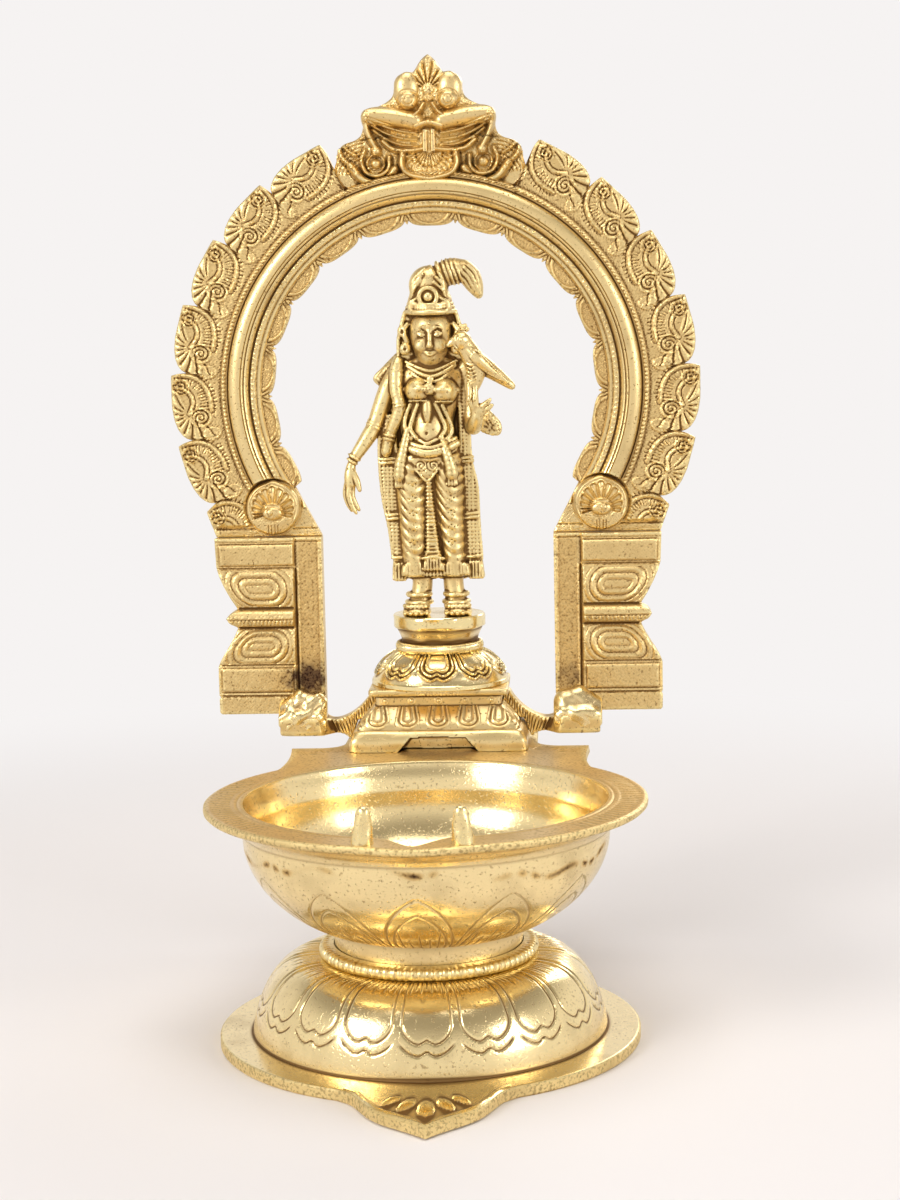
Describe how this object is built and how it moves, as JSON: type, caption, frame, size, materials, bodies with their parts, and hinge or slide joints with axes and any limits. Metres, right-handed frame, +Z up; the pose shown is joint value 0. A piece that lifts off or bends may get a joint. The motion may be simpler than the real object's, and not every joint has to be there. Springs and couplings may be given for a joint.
{
  "type": "brass oil lamp",
  "caption": "Domed lotus foot, shallow oil bowl with spout and wick pegs, and an arch on carved pillars around a standing figure",
  "frame": {"origin": "on the ground, under the middle of the whole lamp's bounding box", "axes": "+Z up, -Y to the front where the spout and the leaf tip point, +X to the viewer's right"},
  "size_m": [0.1794, 0.212, 0.305],
  "materials": {
    "polished_brass": "turned and buffed to a mirror",
    "carved_brass": "cast, chased by hand and lightly polished",
    "braze": "rough brazing metal with heat tint",
    "steel": "plain machined fastener"
  },
  "bodies": {
    "root": {"foot": "polished_brass", "neck_bead_ring": "carved_brass", "bowl": "polished_brass", "centre_bolt": "steel", "bolt_washer": "steel", "bolt_nut": "steel", "pedestal": "carved_brass", "lotus_plinth": "polished_brass", "plinth_rivet": "braze", "standing_figure": "carved_brass", "parrot": "carved_brass", "arch_band": "carved_brass", "crest": "carved_brass", "wick_peg_left": "polished_brass", "wick_peg_right": "polished_brass", "shelf_screw_left": "steel", "shelf_screw_right": "steel", "arm_left": "carved_brass", "arm_right": "carved_brass", "pillar_left": "carved_brass", "pillar_right": "carved_brass", "rosette_left": "carved_brass", "rosette_right": "carved_brass", "braze_left": "braze", "braze_right": "braze"}
  },
  "joints": []
}
